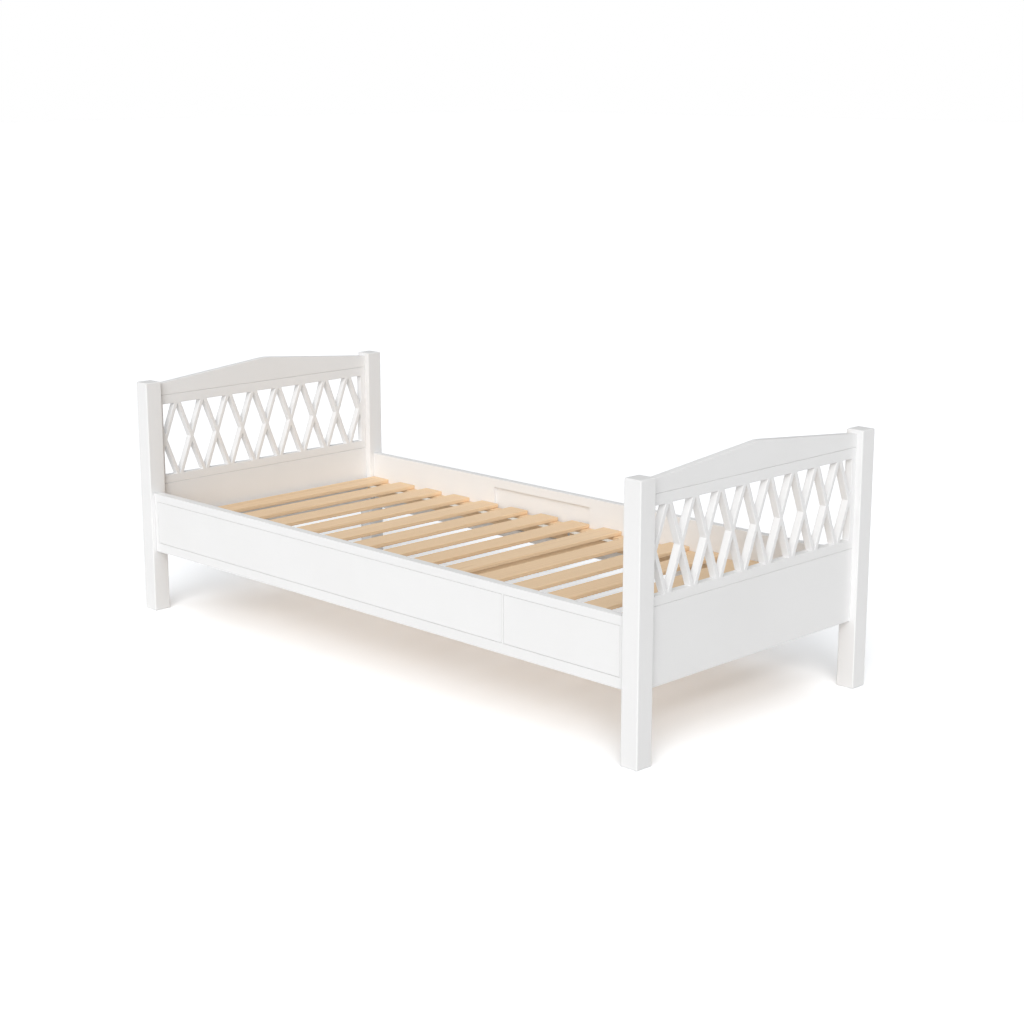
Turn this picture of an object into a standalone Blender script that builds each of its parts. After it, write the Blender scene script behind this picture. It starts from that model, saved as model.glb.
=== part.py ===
"""Toddler bed for a 1600 x 700 mm mattress.

Four square posts carry two framed ends and two side rails. Each end is a solid lower panel, a
milled diamond lattice and a crest rail that rises to a low peak. Pine slats, held in step by two
woven tapes, lie loose on a ledger along each rail, with one cross beam under them.

Frame: metres, +Z up, origin on the floor under the middle of the bed. +X points to the foot end
and +Y to the right side. The head end and the foot end are the same part set the same way round,
and the right rail is the left rail turned half a turn about Z.
"""
import bmesh
import bpy
from math import atan2, cos, pi, radians, sin, sqrt, tan
from mathutils import Matrix, Vector

# Driving dimensions
LENGTH = 1.690
WIDTH = 0.780
POST_HEIGHT = 0.592
POST = 0.045
GAP = 0.0003

# Inner faces of the posts, which the rails and the ends run between
INNER_X = LENGTH / 2 - POST
INNER_Y = WIDTH / 2 - POST
POST_X = LENGTH / 2 - POST / 2
POST_Y = WIDTH / 2 - POST / 2

# End frames: one plane of boards, set back from the +X face of the posts
END_THICKNESS = 0.018
END_SETBACK = 0.0160
END_OFFSET = POST / 2 - END_SETBACK - END_THICKNESS / 2
END_HALF_WIDTH = INNER_Y - GAP
LOWER_PANEL_BOTTOM = 0.1570
LATTICE_BOTTOM = 0.3250
LATTICE_TOP = 0.5534
CREST_END_TOP = 0.5840
CREST_PEAK = 0.6165
CREST_PEAK_RADIUS = 0.13
BOARD_EDGE = 0.0012
TENON_THICKNESS = 0.008
TENON_LENGTH = 0.012

# Lattice: crossing bars in the opening between the lattice's own rails and stiles
OPENING_BOTTOM = 0.3460
OPENING_TOP = 0.5296
OPENING_HALF_WIDTH = 0.3310
LATTICE_MIDDLE = (OPENING_BOTTOM + OPENING_TOP) / 2
DIAMONDS = 8
DIAMOND_PITCH = 0.0815
BAR_SLOPE = 0.3896
BAR_WIDTH = 0.0106

# Side rails
RAIL_SETBACK = 0.010
RAIL_THICKNESS = 0.022
RAIL_BOTTOM = 0.157
RAIL_TOP = 0.309
RAIL_OUTER_Y = WIDTH / 2 - RAIL_SETBACK
RAIL_INNER_Y = RAIL_OUTER_Y - RAIL_THICKNESS
RAIL_MIDDLE_Y = (RAIL_OUTER_Y + RAIL_INNER_Y) / 2
RAIL_HALF_LENGTH = INNER_X - GAP
RAIL_EDGE = 0.0015

# Thin facing boards let into each rail's outer face, and a pocket in its inner face
FACING_BOTTOM = 0.1810
FACING_TOP = 0.2890
FACING_END = 0.787
FACING_DEPTH = 0.005
FACING_JOINT = 0.0007
MULLION_X = 0.457
MULLION_WIDTH = 0.005
POCKET_START = -0.025
POCKET_END = 0.3165
POCKET_BOTTOM = 0.182
POCKET_TOP = 0.286
POCKET_DEPTH = 0.007

# Slat base
SLATS = 15
SLAT_PITCH = 0.109
SLAT_WIDTH = 0.062
SLAT_THICKNESS = 0.010
SLAT_LENGTH = 0.714
SLAT_ROUND = 0.002
SLAT_BOTTOM = 0.233
MIDDLE_SLAT_X = -0.0055
TAPE_Y = 0.296
TAPE_WIDTH = 0.020
TAPE_THICKNESS = 0.001
TAPE_OVERHANG = 0.024

# Ledgers and the cross beam under the slats
LEDGER_TOP = SLAT_BOTTOM - GAP
LEDGER_HEIGHT = 0.038
LEDGER_WIDTH = 0.028
LEDGER_HALF_LENGTH = 0.795
BEAM_X = 0.1035
BEAM_WIDTH = 0.045
BEAM_TOP = 0.2310
BEAM_HEIGHT = 0.028
TIMBER_EDGE = 0.0015

# Fastenings
BOLT_Z = 0.177
BOLT_RADIUS = 0.003
BOLT_LENGTH = 0.062
INSERT_RADIUS = 0.006
INSERT_LENGTH = 0.014
BARREL_RADIUS = 0.005
BARREL_LENGTH = 0.014
BARREL_FROM_END = 0.040
BARREL_SLOT_WIDTH = 0.0012
BARREL_SLOT_DEPTH = 0.0015
DOWEL_Z = 0.272
DOWEL_RADIUS = 0.004
DOWEL_LENGTH = 0.034
SCREW_X = (-0.60, -0.02, 0.60)
SCREW_Z = 0.213
SCREW_RADIUS = 0.002
SCREW_HEAD_RADIUS = 0.004
SCREW_HEAD_DEPTH = 0.003
SCREW_LENGTH = 0.040

ROUND_SIDES = 16
OVERRUN = 0.004


def clear_scene():
    for obj in list(bpy.data.objects):
        bpy.data.objects.remove(obj, do_unlink=True)


def new_collection(name):
    collection = bpy.data.collections.new(name)
    bpy.context.scene.collection.children.link(collection)
    return collection


clear_scene()
PARTS = new_collection("toddler_bed")
CUTTERS = new_collection("cutters")


def make_material(name, color, roughness, metallic=0.0):
    material = bpy.data.materials.new(name)
    material.use_nodes = True
    shader = material.node_tree.nodes["Principled BSDF"]
    shader.inputs["Base Color"].default_value = (*color, 1.0)
    shader.inputs["Roughness"].default_value = roughness
    shader.inputs["Metallic"].default_value = metallic
    return material


PAINT = dict(color=(0.86, 0.85, 0.83), roughness=0.42)
PINE = dict(color=(0.72, 0.50, 0.30), roughness=0.60)
BEECH = dict(color=(0.68, 0.50, 0.34), roughness=0.65)
STEEL = dict(color=(0.62, 0.62, 0.60), roughness=0.35, metallic=1.0)
WEBBING = dict(color=(0.84, 0.80, 0.74), roughness=0.90)


# Making solids

def finish_object(name, mesh, finish):
    """Link a mesh as a named part, or as a cutter when it has no finish."""
    obj = bpy.data.objects.new(name, mesh)
    if finish is None:
        CUTTERS.objects.link(obj)
        obj.hide_render = True
        obj.display_type = "WIRE"
    else:
        PARTS.objects.link(obj)
        mesh.materials.append(make_material(name + "_finish", **finish))
    return obj


def box(name, low, high, finish=None, edge=0.0, segments=2):
    """A box between two opposite corners, with its edges rounded when edge isn't zero."""
    low, high = [Vector(map(pick, zip(low, high))) for pick in (min, max)]
    bm = bmesh.new()
    bmesh.ops.create_cube(bm, size=1.0)
    bmesh.ops.scale(bm, vec=high - low, verts=bm.verts)
    mesh = bpy.data.meshes.new(name)
    bm.to_mesh(mesh)
    bm.free()
    obj = finish_object(name, mesh, finish)
    obj.location = (low + high) / 2
    if edge > 0:
        round_edges(obj, edge, segments)
    return obj


def cylinder(name, start, end, radius, finish=None, end_radius=None, chamfer=0.0):
    """A round bar or a cone from start to end."""
    start, end = Vector(start), Vector(end)
    far_radius = radius if end_radius is None else end_radius
    bm = bmesh.new()
    bmesh.ops.create_cone(bm, cap_ends=True, segments=ROUND_SIDES, radius1=radius,
                          radius2=far_radius, depth=(end - start).length)
    mesh = bpy.data.meshes.new(name)
    bm.to_mesh(mesh)
    bm.free()
    mesh.shade_smooth()
    mesh.set_sharp_from_angle(angle=radians(40))
    obj = finish_object(name, mesh, finish)
    obj.location = (start + end) / 2
    obj.rotation_mode = "QUATERNION"
    obj.rotation_quaternion = (end - start).to_track_quat("Z", "Y")
    if chamfer > 0:
        round_edges(obj, chamfer, 1)
    return obj


def round_edges(obj, width, segments):
    bevel = obj.modifiers.new("round_edges", "BEVEL")
    bevel.width = width
    bevel.segments = segments
    bevel.limit_method = "ANGLE"
    bevel.angle_limit = radians(50)


def combine(obj, tool, operation):
    boolean = obj.modifiers.new(operation.lower() + "_" + tool.name, "BOOLEAN")
    boolean.operation = operation
    boolean.solver = "EXACT"
    boolean.object = tool


def cut(obj, tool):
    combine(obj, tool, "DIFFERENCE")


def join(obj, tool):
    combine(obj, tool, "UNION")


def outline_solid(name, outlines, thickness, placement, finish, edge=0.0):
    """A flat board from closed outlines, the first outside and the rest holes.

    The outlines lie in the board's own XY plane, and placement puts the board in the bed.
    The curve's bevel rounds every rim, and its offset keeps the stated outline.
    """
    curve = bpy.data.curves.new(name + "_outline", "CURVE")
    curve.dimensions = "2D"
    curve.fill_mode = "BOTH"
    curve.extrude = thickness / 2 - edge
    curve.bevel_depth = edge
    curve.bevel_resolution = 2
    curve.offset = -edge
    for points in outlines:
        spline = curve.splines.new("POLY")
        spline.points.add(len(points) - 1)
        for spline_point, (x, y) in zip(spline.points, points):
            spline_point.co = (x, y, 0.0, 1.0)
        spline.use_cyclic_u = True
    guide = bpy.data.objects.new(name + "_outline", curve)
    guide.matrix_world = placement
    bpy.context.scene.collection.objects.link(guide)
    bpy.context.view_layer.update()

    evaluated = guide.evaluated_get(bpy.context.evaluated_depsgraph_get())
    mesh = bpy.data.meshes.new_from_object(evaluated)
    mesh.materials.clear()
    bm = bmesh.new()
    bm.from_mesh(mesh)
    bmesh.ops.remove_doubles(bm, verts=bm.verts, dist=0.00001)
    bmesh.ops.dissolve_degenerate(bm, edges=bm.edges, dist=0.00001)
    bm.to_mesh(mesh)
    bm.free()
    obj = finish_object(name, mesh, finish)
    obj.matrix_world = guide.matrix_world
    bpy.data.objects.remove(guide, do_unlink=True)
    return obj


def arc(centre, radius, start_angle, end_angle, steps):
    """Points along an arc, both ends included."""
    points = []
    for i in range(steps + 1):
        angle = start_angle + (end_angle - start_angle) * i / steps
        points.append((centre[0] + radius * cos(angle), centre[1] + radius * sin(angle)))
    return points


def rounded_rectangle(width, height, radius, steps=4):
    points = []
    for quarter, (side_x, side_y) in enumerate(((1, 1), (-1, 1), (-1, -1), (1, -1))):
        centre = (side_x * (width / 2 - radius), side_y * (height / 2 - radius))
        points += arc(centre, radius, quarter * pi / 2, (quarter + 1) * pi / 2, steps)
    return points


# The ends

def end_placement(end_x):
    """Board X runs along the bed's +Y, board Y upwards and the thickness along X."""
    turn = Matrix.Rotation(radians(90), 4, "Z") @ Matrix.Rotation(radians(90), 4, "X")
    return Matrix.Translation((end_x, 0, 0)) @ turn


def tenon_range(piece_bottom, piece_top, shoulder):
    return piece_bottom + shoulder, piece_top - shoulder


TENONS = dict(
    lower_panel=tenon_range(LOWER_PANEL_BOTTOM, LATTICE_BOTTOM, 0.025),
    lattice_panel=tenon_range(OPENING_BOTTOM, OPENING_TOP, 0.030),
    crest_rail=tenon_range(LATTICE_TOP, CREST_END_TOP, 0.006),
)


def add_tenons(board, piece, end_x):
    bottom, top = TENONS[piece]
    for side in (-1, 1):
        tenon = box(board.name + "_tenon" + ("_right" if side > 0 else "_left"),
                    (end_x - TENON_THICKNESS / 2, side * (END_HALF_WIDTH - 0.006), bottom),
                    (end_x + TENON_THICKNESS / 2, side * (INNER_Y + TENON_LENGTH), top))
        join(board, tenon)


def lower_panel(end, end_x):
    half = END_HALF_WIDTH
    top = LATTICE_BOTTOM - GAP
    outline = [(-half, LOWER_PANEL_BOTTOM), (half, LOWER_PANEL_BOTTOM), (half, top), (-half, top)]
    board = outline_solid(end + "_lower_panel", [outline], END_THICKNESS, end_placement(end_x),
                          PAINT, BOARD_EDGE)
    add_tenons(board, "lower_panel", end_x)


def crest_rail(end, end_x):
    """A straight board underneath, with two slopes that meet in a rounded peak."""
    half = END_HALF_WIDTH
    bottom = LATTICE_TOP + GAP
    slope = atan2(CREST_PEAK - CREST_END_TOP, half)
    centre = (0.0, CREST_PEAK - CREST_PEAK_RADIUS / cos(slope))
    peak = arc(centre, CREST_PEAK_RADIUS, pi / 2 - slope, pi / 2 + slope, 6)
    outline = [(-half, bottom), (half, bottom), (half, CREST_END_TOP), *peak,
               (-half, CREST_END_TOP)]
    board = outline_solid(end + "_crest_rail", [outline], END_THICKNESS, end_placement(end_x),
                          PAINT, BOARD_EDGE)
    add_tenons(board, "crest_rail", end_x)


def lattice_holes():
    """The openings that the crossing bars leave: a row of diamonds between two of triangles."""
    half_bar = BAR_WIDTH / 2
    notch = half_bar / BAR_SLOPE
    holes = []
    for i in range(DIAMONDS):
        y = (i - (DIAMONDS - 1) / 2) * DIAMOND_PITCH
        reach = DIAMOND_PITCH / 2 - half_bar
        rise = reach / BAR_SLOPE
        holes.append([(y - reach, LATTICE_MIDDLE), (y, LATTICE_MIDDLE - rise),
                      (y + reach, LATTICE_MIDDLE), (y, LATTICE_MIDDLE + rise)])
    for side, limit in ((-1, OPENING_BOTTOM), (1, OPENING_TOP)):
        height = abs(limit - LATTICE_MIDDLE)
        spread = BAR_SLOPE * height - half_bar
        for i in range(1, DIAMONDS):
            y = (i - DIAMONDS / 2) * DIAMOND_PITCH
            holes.append([(y, LATTICE_MIDDLE + side * notch), (y + spread, limit),
                          (y - spread, limit)])
        for stile in (-1, 1):
            y = stile * DIAMONDS / 2 * DIAMOND_PITCH
            edge = stile * OPENING_HALF_WIDTH
            corner = (half_bar + abs(edge - y)) / BAR_SLOPE
            holes.append([(y, LATTICE_MIDDLE + side * notch),
                          (edge, LATTICE_MIDDLE + side * corner), (edge, limit),
                          (y - stile * spread, limit)])
    return holes


def lattice_panel(end, end_x):
    half = END_HALF_WIDTH
    frame = [(-half, LATTICE_BOTTOM), (half, LATTICE_BOTTOM), (half, LATTICE_TOP),
             (-half, LATTICE_TOP)]
    board = outline_solid(end + "_lattice_panel", [frame, *lattice_holes()], END_THICKNESS,
                          end_placement(end_x), PAINT, BOARD_EDGE)
    add_tenons(board, "lattice_panel", end_x)


def post(end, end_sign, side, side_sign):
    """A square post with a mortise for each board of its end and the rail's two bores."""
    name = end + "_post_" + side
    x, y = end_sign * POST_X, side_sign * POST_Y
    half = POST / 2
    obj = box(name, (x - half, y - half, 0), (x + half, y + half, POST_HEIGHT), PAINT,
              edge=0.0025, segments=3)
    end_x = x + END_OFFSET
    reach = TENON_THICKNESS / 2 + GAP
    for piece, (bottom, top) in TENONS.items():
        cut(obj, box(name + "_mortise_" + piece,
                     (end_x - reach, side_sign * (INNER_Y - OVERRUN), bottom - GAP),
                     (end_x + reach, side_sign * (INNER_Y + TENON_LENGTH + GAP), top + GAP)))
    rail_y = side_sign * RAIL_MIDDLE_Y
    for bore, z, radius, depth in (
            ("insert", BOLT_Z, INSERT_RADIUS, INSERT_LENGTH + 2 * GAP),
            ("dowel", DOWEL_Z, DOWEL_RADIUS, DOWEL_LENGTH / 2 + GAP)):
        cut(obj, cylinder(name + "_bore_" + bore,
                          (end_sign * (INNER_X - OVERRUN), rail_y, z),
                          (end_sign * (INNER_X + depth), rail_y, z), radius + GAP))


# The side rails. The left rail is at -Y, and turn is -1 for the right one.

def turned_box(name, turn, low, high, finish=None, edge=0.0, segments=2):
    """A box given on the left rail and turned about Z for the right one."""
    return box(name, (turn * low[0], turn * low[1], low[2]),
               (turn * high[0], turn * high[1], high[2]), finish, edge, segments)


def facing_fields():
    """The two fields in the left rail's outer face, as a name and the X range of each."""
    return (("long", -FACING_END, MULLION_X - MULLION_WIDTH / 2),
            ("short", MULLION_X + MULLION_WIDTH / 2, FACING_END))


def side_rail(side, turn):
    name = "side_rail_" + side
    rail = turned_box(name, turn, (-RAIL_HALF_LENGTH, -RAIL_OUTER_Y, RAIL_BOTTOM),
                      (RAIL_HALF_LENGTH, -RAIL_INNER_Y, RAIL_TOP), PAINT, RAIL_EDGE)
    for field, start, end in facing_fields():
        cut(rail, turned_box(name + "_field_" + field, turn,
                             (start, -RAIL_OUTER_Y - OVERRUN, FACING_BOTTOM),
                             (end, -RAIL_OUTER_Y + FACING_DEPTH, FACING_TOP)))
    cut(rail, turned_box(name + "_pocket", turn,
                         (POCKET_START, -RAIL_INNER_Y - POCKET_DEPTH, POCKET_BOTTOM),
                         (POCKET_END, -RAIL_INNER_Y + OVERRUN, POCKET_TOP)))
    y_sign = -turn
    middle_y = y_sign * RAIL_MIDDLE_Y
    barrel_x = INNER_X - BARREL_FROM_END
    for end_sign, end in ((-1, "head"), (1, "foot")):
        cut(rail, cylinder(name + "_bolt_bore_" + end,
                           (end_sign * (barrel_x - 0.015), middle_y, BOLT_Z),
                           (end_sign * (INNER_X + OVERRUN), middle_y, BOLT_Z),
                           BOLT_RADIUS + GAP))
        cut(rail, cylinder(name + "_barrel_bore_" + end,
                           (end_sign * barrel_x, y_sign * (RAIL_INNER_Y - OVERRUN), BOLT_Z),
                           (end_sign * barrel_x,
                            y_sign * (RAIL_INNER_Y + BARREL_LENGTH + 3 * GAP), BOLT_Z),
                           BARREL_RADIUS + GAP))
        cut(rail, cylinder(name + "_dowel_bore_" + end,
                           (end_sign * (INNER_X - DOWEL_LENGTH / 2 - GAP), middle_y, DOWEL_Z),
                           (end_sign * (INNER_X + OVERRUN), middle_y, DOWEL_Z),
                           DOWEL_RADIUS + GAP))
    for number, x in enumerate(SCREW_X, 1):
        cut(rail, cylinder(name + "_screw_bore_%d" % number,
                           (x, y_sign * (RAIL_INNER_Y - OVERRUN), SCREW_Z),
                           (x, y_sign * (ledger_face_y() + SCREW_LENGTH + 2 * GAP), SCREW_Z),
                           SCREW_RADIUS + GAP))
    for field, start, end in facing_fields():
        turned_box("rail_facing_%s_%s" % (field, side), turn,
                   (start + FACING_JOINT, -RAIL_OUTER_Y, FACING_BOTTOM + FACING_JOINT),
                   (end - FACING_JOINT, -RAIL_OUTER_Y + FACING_DEPTH - GAP,
                    FACING_TOP - FACING_JOINT), PAINT, edge=0.0006)


# The slat base

def ledger_face_y():
    """Distance from the bed's middle to the ledgers' inner faces."""
    return RAIL_INNER_Y - GAP - LEDGER_WIDTH


def ledger(side, y_sign):
    """The strip that carries the slats, housed out for the beam and countersunk for screws."""
    name = "slat_ledger_" + side
    strip = box(name, (-LEDGER_HALF_LENGTH, y_sign * ledger_face_y(), LEDGER_TOP - LEDGER_HEIGHT),
                (LEDGER_HALF_LENGTH, y_sign * (RAIL_INNER_Y - GAP), LEDGER_TOP), PINE,
                TIMBER_EDGE)
    reach = BEAM_WIDTH / 2 + GAP
    cut(strip, box(name + "_beam_housing",
                   (BEAM_X - reach, y_sign * (ledger_face_y() - OVERRUN),
                    BEAM_TOP - BEAM_HEIGHT - GAP),
                   (BEAM_X + reach, y_sign * (RAIL_INNER_Y + OVERRUN), LEDGER_TOP + OVERRUN)))
    face = y_sign * ledger_face_y()
    for number, x in enumerate(SCREW_X, 1):
        cut(strip, cylinder(name + "_screw_bore_%d" % number, (x, face - y_sign * OVERRUN, SCREW_Z),
                            (x, y_sign * (RAIL_INNER_Y + OVERRUN), SCREW_Z),
                            SCREW_RADIUS + GAP))
        cut(strip, cylinder(name + "_countersink_%d" % number,
                            (x, face - y_sign * GAP, SCREW_Z),
                            (x, face + y_sign * (SCREW_HEAD_DEPTH + GAP), SCREW_Z),
                            SCREW_HEAD_RADIUS + 2 * GAP, end_radius=SCREW_RADIUS + GAP))
        ledger_screw("ledger_screw_%s_%d" % (side, number), x, y_sign)


def ledger_screw(name, x, y_sign):
    """A countersunk screw, its head flush in the ledger and its point in the rail."""
    face = ledger_face_y() + GAP
    screw = cylinder(name, (x, y_sign * face, SCREW_Z),
                     (x, y_sign * (face + SCREW_HEAD_DEPTH), SCREW_Z), SCREW_HEAD_RADIUS, STEEL,
                     end_radius=SCREW_RADIUS * 0.9)
    join(screw, cylinder(name + "_shank", (x, y_sign * (face + SCREW_HEAD_DEPTH / 2), SCREW_Z),
                         (x, y_sign * (face + SCREW_LENGTH - 0.006), SCREW_Z), SCREW_RADIUS))
    join(screw, cylinder(name + "_point",
                         (x, y_sign * (face + SCREW_LENGTH - 0.007), SCREW_Z),
                         (x, y_sign * (face + SCREW_LENGTH - 0.001), SCREW_Z),
                         SCREW_RADIUS * 0.95, end_radius=SCREW_RADIUS * 0.25))
    for turn, (half_x, half_z) in enumerate(((0.0022, 0.0004), (0.0004, 0.0022))):
        cut(screw, box(name + "_drive_%d" % turn,
                       (x - half_x, y_sign * (face - 0.001), SCREW_Z - half_z),
                       (x + half_x, y_sign * (face + 0.0012), SCREW_Z + half_z)))


def cross_beam():
    box("centre_cross_beam",
        (BEAM_X - BEAM_WIDTH / 2, -RAIL_INNER_Y + 2 * GAP, BEAM_TOP - BEAM_HEIGHT),
        (BEAM_X + BEAM_WIDTH / 2, RAIL_INNER_Y - 2 * GAP, BEAM_TOP), PINE, TIMBER_EDGE)


def slat_centre(number):
    """The X of a slat's middle, counted from 1 at the head end."""
    return MIDDLE_SLAT_X + (number - (SLATS + 1) / 2) * SLAT_PITCH


def slat(number):
    """A pine slat: a section with rounded long edges, drawn out across the bed."""
    across = Matrix.Rotation(radians(90), 4, "X")
    centre = Vector((slat_centre(number), 0, SLAT_BOTTOM + SLAT_THICKNESS / 2))
    section = rounded_rectangle(SLAT_WIDTH, SLAT_THICKNESS, SLAT_ROUND)
    outline_solid("slat_%02d" % number, [section], SLAT_LENGTH,
                  Matrix.Translation(centre) @ across, PINE)


def slat_tape(side, y_sign):
    half = TAPE_WIDTH / 2
    top = SLAT_BOTTOM - GAP
    box("slat_tape_" + side,
        (slat_centre(1) - TAPE_OVERHANG, y_sign * TAPE_Y - half, top - TAPE_THICKNESS),
        (slat_centre(SLATS) + TAPE_OVERHANG, y_sign * TAPE_Y + half, top), WEBBING)


# The fastenings of one corner

def corner_fastenings(end, end_sign, side, y_sign):
    corner = "_%s_%s" % (end, side)
    y = y_sign * RAIL_MIDDLE_Y
    insert = cylinder("thread_insert" + corner, (end_sign * (INNER_X + GAP), y, BOLT_Z),
                      (end_sign * (INNER_X + GAP + INSERT_LENGTH), y, BOLT_Z), INSERT_RADIUS,
                      STEEL)
    cut(insert, cylinder(insert.name + "_thread", (end_sign * (INNER_X - OVERRUN), y, BOLT_Z),
                         (end_sign * (INNER_X + 2 * INSERT_LENGTH), y, BOLT_Z),
                         BOLT_RADIUS + GAP))

    bolt_end = INNER_X + INSERT_LENGTH - 0.001
    cylinder("bed_bolt" + corner, (end_sign * (bolt_end - BOLT_LENGTH), y, BOLT_Z),
             (end_sign * bolt_end, y, BOLT_Z), BOLT_RADIUS, STEEL, chamfer=0.0006)

    barrel_x = end_sign * (INNER_X - BARREL_FROM_END)
    inner = RAIL_INNER_Y + GAP
    barrel = cylinder("barrel_nut" + corner, (barrel_x, y_sign * inner, BOLT_Z),
                      (barrel_x, y_sign * (inner + BARREL_LENGTH), BOLT_Z), BARREL_RADIUS,
                      STEEL, chamfer=0.0005)
    reach = 2 * BARREL_RADIUS
    cut(barrel, cylinder(barrel.name + "_thread", (barrel_x - reach, y, BOLT_Z),
                         (barrel_x + reach, y, BOLT_Z), BOLT_RADIUS + GAP))
    cut(barrel, box(barrel.name + "_slot",
                    (barrel_x - reach, y_sign * (inner - OVERRUN), BOLT_Z - BARREL_SLOT_WIDTH / 2),
                    (barrel_x + reach, y_sign * (inner + BARREL_SLOT_DEPTH),
                     BOLT_Z + BARREL_SLOT_WIDTH / 2)))

    cylinder("rail_dowel" + corner,
             (end_sign * (INNER_X - DOWEL_LENGTH / 2), y, DOWEL_Z),
             (end_sign * (INNER_X + DOWEL_LENGTH / 2), y, DOWEL_Z), DOWEL_RADIUS, BEECH,
             chamfer=0.001)


def build_bed():
    sides = (("left", -1), ("right", 1))
    for end, end_sign in (("head", -1), ("foot", 1)):
        end_x = end_sign * POST_X + END_OFFSET
        lower_panel(end, end_x)
        lattice_panel(end, end_x)
        crest_rail(end, end_x)
        for side, y_sign in sides:
            post(end, end_sign, side, y_sign)
            corner_fastenings(end, end_sign, side, y_sign)
    for side, y_sign in sides:
        side_rail(side, turn=-y_sign)
        ledger(side, y_sign)
        slat_tape(side, y_sign)
    cross_beam()
    for number in range(1, SLATS + 1):
        slat(number)


build_bed()
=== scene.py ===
"""Looks for the toddler bed: satin painted frame, bare pine slats, woven tapes and zinc fastenings.

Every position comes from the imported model, in metres, with +X to the foot end and +Z up.
"""

from math import cos, pi, radians, sin

import bpy
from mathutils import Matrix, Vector


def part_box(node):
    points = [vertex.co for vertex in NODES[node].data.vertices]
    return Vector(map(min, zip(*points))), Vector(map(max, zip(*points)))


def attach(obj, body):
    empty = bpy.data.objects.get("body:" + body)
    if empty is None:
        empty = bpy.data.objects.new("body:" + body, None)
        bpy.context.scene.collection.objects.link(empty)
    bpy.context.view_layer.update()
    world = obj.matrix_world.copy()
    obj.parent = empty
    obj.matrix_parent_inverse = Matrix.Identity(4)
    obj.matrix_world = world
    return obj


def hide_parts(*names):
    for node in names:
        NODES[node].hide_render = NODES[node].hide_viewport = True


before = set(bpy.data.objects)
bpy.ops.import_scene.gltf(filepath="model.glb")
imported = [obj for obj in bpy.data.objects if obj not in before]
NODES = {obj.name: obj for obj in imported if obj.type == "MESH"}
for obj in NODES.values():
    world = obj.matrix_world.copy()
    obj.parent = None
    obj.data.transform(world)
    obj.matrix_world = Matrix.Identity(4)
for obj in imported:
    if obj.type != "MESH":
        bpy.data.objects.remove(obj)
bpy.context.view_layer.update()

MODEL = bpy.context.scene.collection
X_AXIS, Y_AXIS, Z_AXIS = range(3)

# Camera: where it stands, which way it looks and its lens
CAMERA_PLACE = (3.2137, -3.1171, 1.3654)
CAMERA_AZIMUTH = radians(44.91)
CAMERA_DROP = radians(13.04)
CAMERA_LENS = 67.55
CAMERA_SENSOR = 36.0

# Colours, as linear albedo
WHITE_PAINT = (0.850, 0.850, 0.850)
WHITE_PAINT_DEEP = (0.830, 0.829, 0.827)
PAINT_EDGE = (0.780, 0.777, 0.770)
PINE_EARLY = (0.840, 0.620, 0.400)
PINE_LATE = (0.690, 0.460, 0.258)
BEECH_EARLY = (0.700, 0.520, 0.360)
BEECH_LATE = (0.560, 0.390, 0.250)
ZINC = (0.640, 0.650, 0.650)
ZINC_DULL = (0.480, 0.490, 0.500)
YARN = (0.820, 0.795, 0.740)
# The darker yarn colour is shade painted into the hollows of the weave, and also the colour of the
# soiled patches
YARN_SHADE_AND_SOIL = (0.560, 0.530, 0.470)

# Studio: the floor is pale grey to the bed and burnt out to white in the picture, as a product
# photographer sets it. Each soft light has an azimuth, elevation and spread in degrees, and a
# strength.
FLOOR = (0.800, 0.800, 0.800)
FLOOR_SEEN = (1.300, 1.325, 1.355)
FLOOR_REACH = 40.0
FLOOR_ROUGHNESS = 0.9
FLOOR_SPECULAR = 0.1
BACKDROP = (1.0, 1.0, 1.0)
SKY_STRENGTH = 0.18
SOFT_LIGHTS = (("key_light", 39, 22, 40, 1.62), ("high_light", 40, 50, 50, 1.16),
               ("head_light", -30, 20, 40, 0.36), ("back_light", 215, 55, 60, 0.70))

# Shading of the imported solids: faces that meet at less than the sharp angle shade as one
WELD_DISTANCE = 0.00001
SHARP_ANGLE = radians(40)
LARGE_FACE_WEIGHT = 60

# Edges: how far from its corner an edge is tinted, and how far the true normal agrees with the
# rounded one on a flat face and at a corner
EDGE_SAMPLES = 4
PAINT_EDGE_RADIUS = 0.0022
WOOD_EDGE_RADIUS = 0.0012
FLAT_AGREEMENT = 0.995
CORNER_AGREEMENT = 0.80

# Paint: the noise scales of the grain that shows through it, along and across the board, and the
# step in space from one board's pattern to the next
PAINT_GRAIN_ALONG = 7.0
PAINT_GRAIN_ACROSS = 430.0
PAINT_STRIDE = (1.37, 2.11, 0.73)

# Wood: the spacing of growth rings, how far they lean along the board, and where the log's pith
# lies from the board's middle, across it and in height. A ledger's and the beam's pith is given
# in height from their undersides.
SLAT_RING, SLAT_RING_SPREAD, SLAT_LEAN = 0.0028, 0.0006, 0.020
SLAT_PITH_ACROSS, SLAT_PITH_BELOW, SLAT_PITH_SPREAD = 0.055, 0.045, 0.030
LEDGER_RING, LEDGER_LEAN, LEDGER_PITH = 0.0030, 0.012, (-0.05, -0.03)
BEAM_RING, BEAM_LEAN, BEAM_PITH = 0.0034, 0.015, (0.03, -0.05)
DOWEL_RING = 0.0022
# Each slat differs from the next by uneven steps, so that no two are alike
SWING_STEP, LEAN_STEP, WARMTH_STEP, SLAT_SEED_STEP = 2.4, 1.7, 3.1, 0.61
WARMTH_SPREAD = 0.018
LEDGER_SEED, BEAM_SEED, DOWEL_SEED = 20, 31.0, 40
ZINC_SEED_STEP = 0.37

# Tape
YARN_PITCH = 0.0011
TAPE_THICKNESS = 0.0008
TAPE_SAG = 0.0004
TAPE_SELVEDGE = 0.00008
TAPE_SELVEDGE_START = 0.8
TAPE_STEP = 0.004
TAPE_SECTION_STEPS = 10


# Small helpers for building node trees

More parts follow.
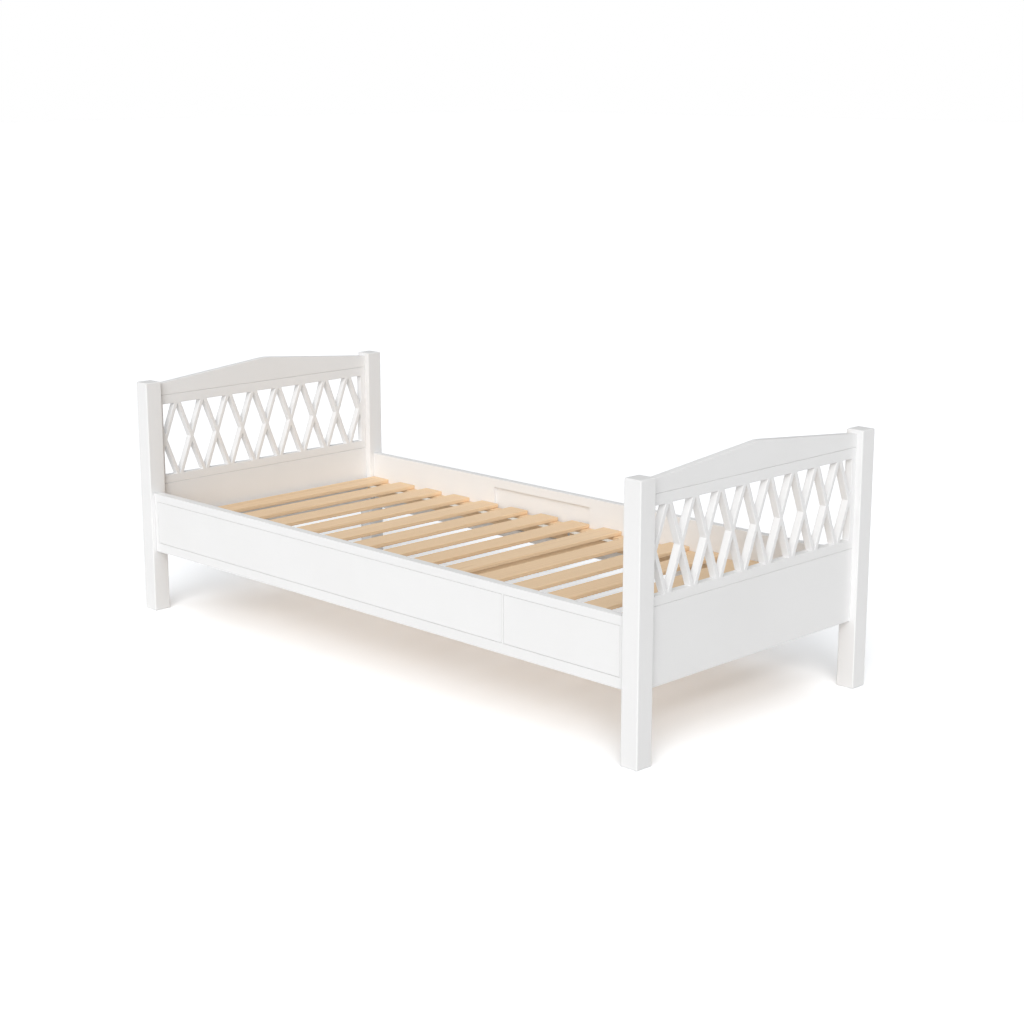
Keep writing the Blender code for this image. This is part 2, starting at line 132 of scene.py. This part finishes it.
def add(tree, kind, settings=None, **inputs):
    """A node with its settings, and its inputs set to values or linked to other sockets.

    An input name uses _ for a space, and a number picks an input by its place (i0, i1, ...).
    """
    made = tree.nodes.new(kind)
    for key, value in (settings or {}).items():
        setattr(made, key, value)
    for key, value in inputs.items():
        if key[0] == "i" and key[1:].isdigit():
            socket = made.inputs[int(key[1:])]
        else:
            socket = made.inputs[key.replace("_", " ")]
        if isinstance(value, bpy.types.NodeSocket):
            tree.links.new(value, socket)
        else:
            socket.default_value = value
    return made


def combine(tree, operation, first, second):
    """Two values put together by one step of arithmetic."""
    return add(tree, "ShaderNodeMath", {"operation": operation}, i0=first, i1=second).outputs[0]


def scaled(tree, vector, size, place=(0, 0, 0), turn=(0, 0, 0)):
    """A vector moved, turned and scaled."""
    return add(tree, "ShaderNodeMapping", Vector=vector, Location=place, Rotation=turn,
               Scale=size).outputs["Vector"]


def noise(tree, vector, scale=1.0, detail=2.0, roughness=0.5, distortion=0.0):
    return add(tree, "ShaderNodeTexNoise", Vector=vector, Scale=scale, Detail=detail,
               Roughness=roughness, Distortion=distortion).outputs["Fac"]


def remap(tree, value, low, high, to_low=0.0, to_high=1.0):
    """A value taken from one range to another, and held inside it."""
    return add(tree, "ShaderNodeMapRange", {"clamp": True}, i0=value, i1=low, i2=high,
               i3=to_low, i4=to_high).outputs[0]


def wave(tree, value, length):
    """A sine that repeats every length."""
    angle = combine(tree, "MULTIPLY", value, 2 * pi / length)
    return combine(tree, "SINE", angle, 0.0)


def mix(tree, amount, first, second):
    """A blend of two colours, each a plain colour or another socket."""
    blend = add(tree, "ShaderNodeMix", {"data_type": "RGBA"}, i0=amount)
    for index, color in ((6, first), (7, second)):
        if isinstance(color, bpy.types.NodeSocket):
            tree.links.new(color, blend.inputs[index])
        else:
            blend.inputs[index].default_value = (*color, 1.0)
    return blend.outputs[2]


def bump(tree, height, strength, distance, under=None):
    """A normal raised by a height, on top of another normal if one is given."""
    settings = dict(Strength=strength, Distance=distance, Height=height)
    if under is not None:
        settings["Normal"] = under
    return add(tree, "ShaderNodeBump", **settings).outputs["Normal"]


def new_material(name):
    """A material with its node tree, its shader and the coordinates of the object it is on."""
    material = bpy.data.materials.new(name)
    material.use_nodes = True
    tree = material.node_tree
    shader = tree.nodes["Principled BSDF"]
    coords = add(tree, "ShaderNodeTexCoord").outputs["Object"]
    return material, tree, shader, coords


def edge_mask(tree, radius):
    """0 on flat faces and 1 on rounded edges and corners."""
    round_normal = add(tree, "ShaderNodeBevel", {"samples": EDGE_SAMPLES}, Radius=radius).outputs[0]
    flat_normal = add(tree, "ShaderNodeNewGeometry").outputs["Normal"]
    same = add(tree, "ShaderNodeVectorMath", {"operation": "DOT_PRODUCT"}, i0=round_normal,
               i1=flat_normal).outputs["Value"]
    return remap(tree, same, FLAT_AGREEMENT, CORNER_AGREEMENT)


# Materials

def painted(name, along, seed):
    """Satin white paint on wood whose grain runs along one axis.

    The grain shows through as faint long lines, under the fine orange peel of the roller.
    """
    material, tree, shader, coords = new_material(name)
    moved = scaled(tree, coords, size=(1, 1, 1), place=[seed * step for step in PAINT_STRIDE])
    grain_size = [PAINT_GRAIN_ACROSS] * 3
    grain_size[along] = PAINT_GRAIN_ALONG
    tone = noise(tree, moved, scale=3.1, detail=4.0, roughness=0.55)
    peel = noise(tree, moved, scale=760.0, roughness=0.6)
    ripple = noise(tree, moved, scale=95.0)
    cloud = noise(tree, moved, scale=22.0, detail=4.0, roughness=0.6)
    grain = noise(tree, scaled(tree, moved, grain_size), detail=3.0, roughness=0.6, distortion=0.3)
    edge = edge_mask(tree, PAINT_EDGE_RADIUS)
    color = mix(tree, remap(tree, tone, 0.35, 0.70), WHITE_PAINT, WHITE_PAINT_DEEP)
    show_through = remap(tree, grain, 0.60, 0.78, to_high=0.22)
    color = mix(tree, show_through, color, PAINT_EDGE)
    wear = combine(tree, "MULTIPLY", edge, remap(tree, ripple, 0.40, 0.65, to_low=0.15, to_high=0.60))
    color = mix(tree, wear, color, PAINT_EDGE)
    tree.links.new(color, shader.inputs["Base Color"])
    satin = remap(tree, cloud, 0.30, 0.72, to_low=0.36, to_high=0.48)
    worn_rougher = combine(tree, "MULTIPLY", edge, 0.06)
    tree.links.new(combine(tree, "ADD", satin, worn_rougher), shader.inputs["Roughness"])
    surface = bump(tree, grain, strength=0.10, distance=0.0004)
    surface = bump(tree, ripple, strength=0.06, distance=0.0006, under=surface)
    surface = bump(tree, peel, strength=0.12, distance=0.00018, under=surface)
    tree.links.new(surface, shader.inputs["Normal"])
    return material


def timber(name, along, seed, early, late, ring, lean=0.0, pith=(0.05, -0.06)):
    """Bare planed wood: growth rings about a pith beside the board, fibre streaks and pores.

    along is the axis that the board runs on, pith is where the pith lies across it and in height,
    and lean makes the rings run out into long arches.
    """
    material, tree, shader, coords = new_material(name)
    turns = {X_AXIS: (0, 0, pi / 2), Y_AXIS: (0, 0, 0), Z_AXIS: (pi / 2, 0, 0)}
    board = scaled(tree, coords, size=(1, 1, 1), turn=turns[along])
    trunk = scaled(tree, board, size=(1, 0.10, 1), place=(-pith[0], seed * 3.7, -pith[1]),
                   turn=(lean, 0, lean * 0.35))
    wander = noise(tree, scaled(tree, board, size=(9, 1.1, 9), place=(seed, seed * 2, seed * 3)))
    shift = add(tree, "ShaderNodeCombineXYZ", X=combine(tree, "MULTIPLY", wander, 0.020), Y=0.0,
                Z=combine(tree, "MULTIPLY", wander, 0.014)).outputs[0]
    trunk = add(tree, "ShaderNodeVectorMath", {"operation": "ADD"}, i0=trunk, i1=shift).outputs[0]
    rings = add(tree, "ShaderNodeTexWave",
                {"wave_type": "RINGS", "rings_direction": "Y", "wave_profile": "SAW"},
                Vector=trunk, Scale=pi / (10 * ring), Distortion=2.2, Detail=3.0,
                Detail_Scale=0.35, Detail_Roughness=0.55).outputs["Fac"]
    late_wood = combine(tree, "POWER", remap(tree, rings, 0.45, 0.98), 2.2)
    streaks = noise(tree, scaled(tree, board, size=(900, 11, 900), place=(seed * 5, 0, 0)),
                    detail=3.0, roughness=0.65)
    flecks = noise(tree, scaled(tree, board, size=(2600, 90, 2600), place=(0, seed, 0)), detail=1.0)
    patches = noise(tree, scaled(tree, board, size=(14, 2.2, 14), place=(seed * 2, seed, 0)),
                    detail=3.0)
    contrast = remap(tree, patches, 0.3, 0.7, to_low=0.42, to_high=0.80)
    amount = combine(tree, "MULTIPLY", late_wood, contrast)
    amount = combine(tree, "ADD", amount, remap(tree, streaks, 0.45, 0.80, to_high=0.30))
    amount = combine(tree, "ADD", amount, remap(tree, flecks, 0.62, 0.80, to_high=0.16))
    color = mix(tree, combine(tree, "MINIMUM", amount, 1.0), early, late)
    pale = [min(1.0, channel * 1.05) for channel in early]
    color = mix(tree, remap(tree, patches, 0.55, 0.85, to_high=0.5), color, pale)
    edge_tint = combine(tree, "MULTIPLY", edge_mask(tree, WOOD_EDGE_RADIUS), 0.10)
    color = mix(tree, edge_tint, color, late)
    tree.links.new(color, shader.inputs["Base Color"])
    dense = combine(tree, "ADD", late_wood, streaks)
    rough = remap(tree, dense, 0.3, 1.6, to_low=0.66, to_high=0.50)
    tree.links.new(rough, shader.inputs["Roughness"])
    surface = bump(tree, late_wood, strength=0.18, distance=0.0003)
    surface = bump(tree, streaks, strength=0.30, distance=0.0002, under=surface)
    surface = bump(tree, flecks, strength=0.15, distance=0.0001, under=surface)
    tree.links.new(surface, shader.inputs["Normal"])
    return material


def zinc_plated(name, seed):
    """Plated steel, with the mottled crystals of the plating and fine turning marks."""
    material, tree, shader, coords = new_material(name)
    moved = scaled(tree, coords, size=(1, 1, 1), place=(seed, seed * 2, 0))
    crystals = add(tree, "ShaderNodeTexVoronoi", {"feature": "F1"}, Vector=moved,
                   Scale=900.0).outputs["Distance"]
    marks = noise(tree, scaled(tree, moved, size=(2400, 60, 60)))
    dull = noise(tree, moved, scale=240.0, detail=3.0, roughness=0.6)
    color = mix(tree, remap(tree, dull, 0.40, 0.68), ZINC, ZINC_DULL)
    tree.links.new(color, shader.inputs["Base Color"])
    shader.inputs["Metallic"].default_value = 1.0
    shine = remap(tree, crystals, 0.0, 0.8, to_low=0.26, to_high=0.40)
    rough = combine(tree, "ADD", shine, combine(tree, "MULTIPLY", dull, 0.12))
    tree.links.new(rough, shader.inputs["Roughness"])
    tree.links.new(bump(tree, marks, strength=0.20, distance=0.0001), shader.inputs["Normal"])
    return material


def woven(name):
    """Plain woven cotton tape: warp and weft yarns that pass over and under each other, with shade
    painted where they dip.
    """
    material, tree, shader, coords = new_material(name)
    parts = add(tree, "ShaderNodeSeparateXYZ", Vector=coords)
    warp, weft = [wave(tree, parts.outputs[axis], YARN_PITCH) for axis in ("Y", "X")]
    weave = combine(tree, "MULTIPLY", warp, weft)
    fibre = noise(tree, scaled(tree, coords, size=(1800, 5200, 1800)))
    soil = noise(tree, coords, scale=26.0, detail=4.0, roughness=0.6)
    height = combine(tree, "ADD", combine(tree, "MULTIPLY", weave, 0.5),
                     combine(tree, "MULTIPLY", fibre, 0.5))
    # Painted shade: the low parts of the weave, between the yarns, are darkened
    color = mix(tree, remap(tree, height, -0.25, 0.55), YARN_SHADE_AND_SOIL, YARN)
    # Soiled patches (real dirt) take the same darker colour
    color = mix(tree, remap(tree, soil, 0.50, 0.80, to_high=0.25), color, YARN_SHADE_AND_SOIL)
    tree.links.new(color, shader.inputs["Base Color"])
    rough = remap(tree, fibre, 0.3, 0.7, to_low=0.85, to_high=0.95)
    tree.links.new(rough, shader.inputs["Roughness"])
    shader.inputs["Sheen Weight"].default_value = 0.25
    shader.inputs["Sheen Roughness"].default_value = 0.5
    tree.links.new(bump(tree, height, strength=0.7, distance=0.0002), shader.inputs["Normal"])
    return material


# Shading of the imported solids

def edge_shading_group():
    """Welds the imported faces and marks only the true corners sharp, so rounded edges shade round."""
    group = bpy.data.node_groups.new("edge_shading", "GeometryNodeTree")
    for way in ("INPUT", "OUTPUT"):
        group.interface.new_socket("Geometry", in_out=way, socket_type="NodeSocketGeometry")
    start = group.nodes.new("NodeGroupInput")
    end = group.nodes.new("NodeGroupOutput")
    weld = add(group, "GeometryNodeMergeByDistance", Geometry=start.outputs[0],
               Distance=WELD_DISTANCE)
    angle = add(group, "GeometryNodeInputMeshEdgeAngle").outputs["Unsigned Angle"]
    soft = add(group, "FunctionNodeCompare", {"data_type": "FLOAT", "operation": "LESS_THAN"},
               i0=angle, i1=SHARP_ANGLE).outputs[0]
    faces = add(group, "GeometryNodeSetShadeSmooth", {"domain": "FACE"},
                Geometry=weld.outputs[0], Shade_Smooth=True)
    edges = add(group, "GeometryNodeSetShadeSmooth", {"domain": "EDGE"},
                Geometry=faces.outputs[0], Shade_Smooth=soft)
    group.links.new(edges.outputs[0], end.inputs[0])
    return group


EDGE_SHADING = edge_shading_group()


def shade_edges(obj):
    """Smooth rounded edges, with the large flat faces kept flat."""
    obj.modifiers.new("edge_shading", "NODES").node_group = EDGE_SHADING
    weights = obj.modifiers.new("face_weights", "WEIGHTED_NORMAL")
    weights.keep_sharp = True
    weights.weight = LARGE_FACE_WEIGHT


def finish_node(name, material):
    """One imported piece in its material, with its edges shaded."""
    obj = NODES[name]
    obj.data.materials.clear()
    obj.data.materials.append(material)
    shade_edges(obj)


def names_with(*starts):
    """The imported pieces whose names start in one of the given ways."""
    return sorted(name for name in NODES if name.startswith(starts))


SLATS = names_with("slat_0", "slat_1")


def finish_painted_wood():
    """White paint, with the grain upright in the posts and along every board."""
    seed = 1
    for name in sorted(NODES):
        if "_post_" in name:
            along = Z_AXIS
        elif name.endswith(("_crest_rail", "_lattice_panel", "_lower_panel")):
            along = Y_AXIS
        elif name.startswith(("side_rail_", "rail_facing_")):
            along = X_AXIS
        else:
            continue
        finish_node(name, painted("paint_" + name, along, seed))
        seed += 1


def finish_bare_wood():
    """Pine slats, each sawn from its own place in the log, and the ledgers and the beam."""
    for number, name in enumerate(SLATS):
        low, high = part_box(name)
        middle = (low + high) / 2
        swing = sin(number * SWING_STEP)
        depth = cos(number * LEAN_STEP)
        pith = (middle.x + SLAT_PITH_ACROSS * swing,
                middle.z - SLAT_PITH_BELOW - SLAT_PITH_SPREAD * depth)
        warmer = 1.0 - WARMTH_SPREAD * sin(number * WARMTH_STEP)
        early = (PINE_EARLY[0], PINE_EARLY[1] * warmer, PINE_EARLY[2] * warmer ** 2)
        finish_node(name, timber("pine_" + name, Y_AXIS, number * SLAT_SEED_STEP, early, PINE_LATE,
                                 ring=SLAT_RING + SLAT_RING_SPREAD * depth,
                                 lean=SLAT_LEAN * swing, pith=pith))
    for number, name in enumerate(names_with("slat_ledger_")):
        low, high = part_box(name)
        pith = ((low.y + high.y) / 2 + LEDGER_PITH[0], low.z + LEDGER_PITH[1])
        finish_node(name, timber("pine_" + name, X_AXIS, LEDGER_SEED + number, PINE_EARLY,
                                 PINE_LATE, ring=LEDGER_RING, lean=LEDGER_LEAN, pith=pith))
    beam = "centre_cross_beam"
    low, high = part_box(beam)
    pith = ((low.x + high.x) / 2 + BEAM_PITH[0], low.z + BEAM_PITH[1])
    finish_node(beam, timber("pine_" + beam, Y_AXIS, BEAM_SEED, PINE_EARLY, PINE_LATE,
                             ring=BEAM_RING, lean=BEAM_LEAN, pith=pith))


def finish_fastenings():
    """Plated bolts, barrel nuts, inserts and screws, and beech dowels."""
    for seed, name in enumerate(names_with("bed_bolt_", "barrel_nut_", "thread_insert_",
                                           "ledger_screw_")):
        finish_node(name, zinc_plated("zinc_" + name, seed * ZINC_SEED_STEP))
    for seed, name in enumerate(names_with("rail_dowel_")):
        finish_node(name, timber("beech_" + name, X_AXIS, DOWEL_SEED + seed, BEECH_EARLY,
                                 BEECH_LATE, ring=DOWEL_RING))


# The woven tapes under the slats

def tape_section(width):
    """Half-round edges and a slightly thicker woven border, as (across, up) from the middle."""
    half = width / 2
    thick = TAPE_THICKNESS / 2
    upper = []
    for i in range(TAPE_SECTION_STEPS + 1):
        across = half * cos(pi * i / TAPE_SECTION_STEPS)
        border = TAPE_SELVEDGE if abs(across) > half * TAPE_SELVEDGE_START else 0.0
        near_edge = min(1.0, (half - abs(across)) / thick)
        upper.append((across, (thick + border) * (1 - (1 - near_edge) ** 2) ** 0.5))
    lower = [(across, -up) for across, up in reversed(upper[1:-1])]
    return upper + lower


def tape_mesh(name, low, high):
    """A flat tape along a box, which touches every slat and hangs a little between them."""
    slats = [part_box(slat) for slat in SLATS]
    gaps = [(first[1].x, second[0].x) for first, second in zip(slats, slats[1:])]
    section = tape_section(high.y - low.y)
    middle_y = (low.y + high.y) / 2
    top_z = high.z - TAPE_THICKNESS / 2 - TAPE_SELVEDGE
    count = round((high.x - low.x) / TAPE_STEP)
    verts, faces = [], []
    for i in range(count + 1):
        x = low.x + (high.x - low.x) * i / count
        sag = 0.0
        for start, end in gaps:
            if start < x < end:
                sag = TAPE_SAG * sin(pi * (x - start) / (end - start)) ** 2
        for across, up in section:
            verts.append((x, middle_y + across, top_z - sag + up))
    size = len(section)
    for i in range(count):
        for j in range(size):
            k = (j + 1) % size
            faces.append((i * size + j, i * size + k, (i + 1) * size + k, (i + 1) * size + j))
    faces.append(tuple(reversed(range(size))))
    faces.append(tuple(range(count * size, (count + 1) * size)))
    mesh = bpy.data.meshes.new(name)
    mesh.from_pydata(verts, [], faces)
    mesh.validate()
    mesh.shade_smooth()
    mesh.materials.append(TAPE_CLOTH)
    return mesh


def slat_tape(side):
    """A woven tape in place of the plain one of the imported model."""
    node = "slat_tape_" + side
    name = "woven_tape_" + side
    low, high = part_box(node)
    tape = bpy.data.objects.new(name, tape_mesh(name, low, high))
    MODEL.objects.link(tape)
    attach(tape, "slat_base")
    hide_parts(node)


# Floor, light and camera

def studio_floor():
    """A wide floor that the bed sees as pale grey and the camera as brighter."""
    floor_mesh = bpy.data.meshes.new("studio_floor")
    reach = FLOOR_REACH
    floor_mesh.from_pydata([(-reach, -reach, 0), (reach, -reach, 0), (reach, reach, 0),
                            (-reach, reach, 0)], [], [(0, 1, 2, 3)])
    floor = bpy.data.objects.new("studio_floor", floor_mesh)
    MODEL.objects.link(floor)
    material, tree, shader, _ = new_material("pale_floor")
    shader.inputs["Base Color"].default_value = (*FLOOR, 1.0)
    shader.inputs["Roughness"].default_value = FLOOR_ROUGHNESS
    shader.inputs["Specular IOR Level"].default_value = FLOOR_SPECULAR
    bright = add(tree, "ShaderNodeBsdfDiffuse", Color=(*FLOOR_SEEN, 1.0))
    seen = add(tree, "ShaderNodeLightPath").outputs["Is Camera Ray"]
    both = add(tree, "ShaderNodeMixShader", i0=seen, i1=shader.outputs[0], i2=bright.outputs[0])
    tree.links.new(both.outputs[0], tree.nodes["Material Output"].inputs["Surface"])
    floor_mesh.materials.append(material)


def studio_sky():
    """A dim white sky to the bed, and a plain white backdrop to the camera."""
    world = bpy.data.worlds.new("studio_world")
    bpy.context.scene.world = world
    world.use_nodes = True
    tree = world.node_tree
    sky = tree.nodes["Background"]
    sky.inputs["Color"].default_value = (*BACKDROP, 1.0)
    sky.inputs["Strength"].default_value = SKY_STRENGTH
    backdrop = add(tree, "ShaderNodeBackground", Color=(*BACKDROP, 1.0), Strength=1.0)
    seen = add(tree, "ShaderNodeLightPath").outputs["Is Camera Ray"]
    both = add(tree, "ShaderNodeMixShader", i0=seen, i1=sky.outputs[0], i2=backdrop.outputs[0])
    tree.links.new(both.outputs[0], tree.nodes["World Output"].inputs["Surface"])


def soft_light(name, azimuth, elevation, spread, strength):
    """A wide, distant studio light. Its azimuth is 0 at the left side and 90 at the foot end."""
    light = bpy.data.lights.new(name, "SUN")
    light.energy = strength
    light.angle = radians(spread)
    lamp = bpy.data.objects.new(name, light)
    level = cos(radians(elevation))
    came_from = Vector((sin(radians(azimuth)) * level, -cos(radians(azimuth)) * level,
                        sin(radians(elevation))))
    lamp.rotation_euler = came_from.to_track_quat("Z", "Y").to_euler()
    MODEL.objects.link(lamp)


def camera():
    camera_data = bpy.data.cameras.new("camera")
    camera_data.lens = CAMERA_LENS
    camera_data.sensor_width = CAMERA_SENSOR
    eye = bpy.data.objects.new("camera", camera_data)
    eye.location = CAMERA_PLACE
    look = Vector((-sin(CAMERA_AZIMUTH) * cos(CAMERA_DROP), cos(CAMERA_AZIMUTH) * cos(CAMERA_DROP),
                   -sin(CAMERA_DROP)))
    eye.rotation_euler = look.to_track_quat("-Z", "Y").to_euler()
    MODEL.objects.link(eye)
    bpy.context.scene.camera = eye


TAPE_CLOTH = woven("tape_cloth")
camera()
studio_floor()
studio_sky()
for soft_light_settings in SOFT_LIGHTS:
    soft_light(*soft_light_settings)
finish_painted_wood()
finish_bare_wood()
finish_fastenings()
for tape_side in ("left", "right"):
    slat_tape(tape_side)
bpy.context.scene.view_settings.view_transform = "Standard"
bpy.context.view_layer.update()
